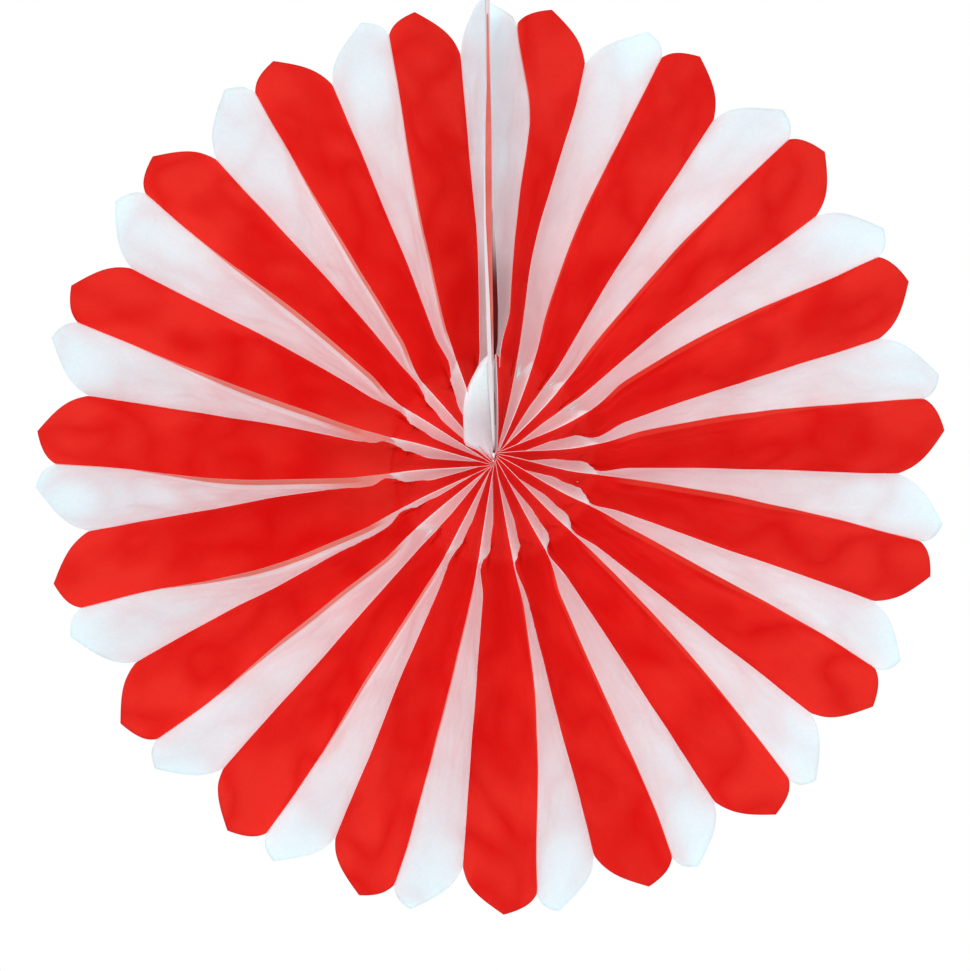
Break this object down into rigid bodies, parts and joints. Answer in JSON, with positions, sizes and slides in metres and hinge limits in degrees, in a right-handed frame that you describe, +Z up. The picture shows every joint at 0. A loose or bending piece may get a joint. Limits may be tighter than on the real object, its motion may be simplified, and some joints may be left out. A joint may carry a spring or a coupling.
{
  "type": "paper fan rosette",
  "caption": "Round hanging rosette of alternating red and white tissue sheets, folded edge to edge from a small inner flower to a scalloped rim, closed at the top by its cover cards.",
  "frame": {"origin": "on the rosette's axis, midway between the front folds and the back folds", "axes": "+Z up to the seam between the two cover cards, -Y towards the front, +X to the viewer's right"},
  "size_m": [0.3993, 0.048, 0.4001],
  "materials": {
    "white_tissue": "matt",
    "red_tissue": "matt",
    "cover_card": "matt"
  },
  "bodies": {
    "root": {"white_sheet_01": "white_tissue", "white_sheet_02": "white_tissue", "white_sheet_03": "white_tissue", "white_sheet_04": "white_tissue", "white_sheet_05": "white_tissue", "white_sheet_06": "white_tissue", "white_sheet_07": "white_tissue", "white_sheet_08": "white_tissue", "white_sheet_09": "white_tissue", "white_sheet_10": "white_tissue", "white_sheet_11": "white_tissue", "white_sheet_12": "white_tissue", "white_sheet_13": "white_tissue", "white_sheet_14": "white_tissue", "white_sheet_15": "white_tissue", "white_sheet_16": "white_tissue", "white_sheet_17": "white_tissue", "white_sheet_18": "white_tissue", "white_sheet_19": "white_tissue", "white_sheet_20": "white_tissue", "red_sheet_01": "red_tissue", "red_sheet_02": "red_tissue", "red_sheet_03": "red_tissue", "red_sheet_04": "red_tissue", "red_sheet_05": "red_tissue", "red_sheet_06": "red_tissue", "red_sheet_07": "red_tissue", "red_sheet_08": "red_tissue", "red_sheet_09": "red_tissue", "red_sheet_10": "red_tissue", "red_sheet_11": "red_tissue", "red_sheet_12": "red_tissue", "red_sheet_13": "red_tissue", "red_sheet_14": "red_tissue", "red_sheet_15": "red_tissue", "red_sheet_16": "red_tissue", "red_sheet_17": "red_tissue", "red_sheet_18": "red_tissue", "red_sheet_19": "red_tissue", "left_cover_card": "cover_card", "right_cover_card": "cover_card"}
  },
  "joints": []
}
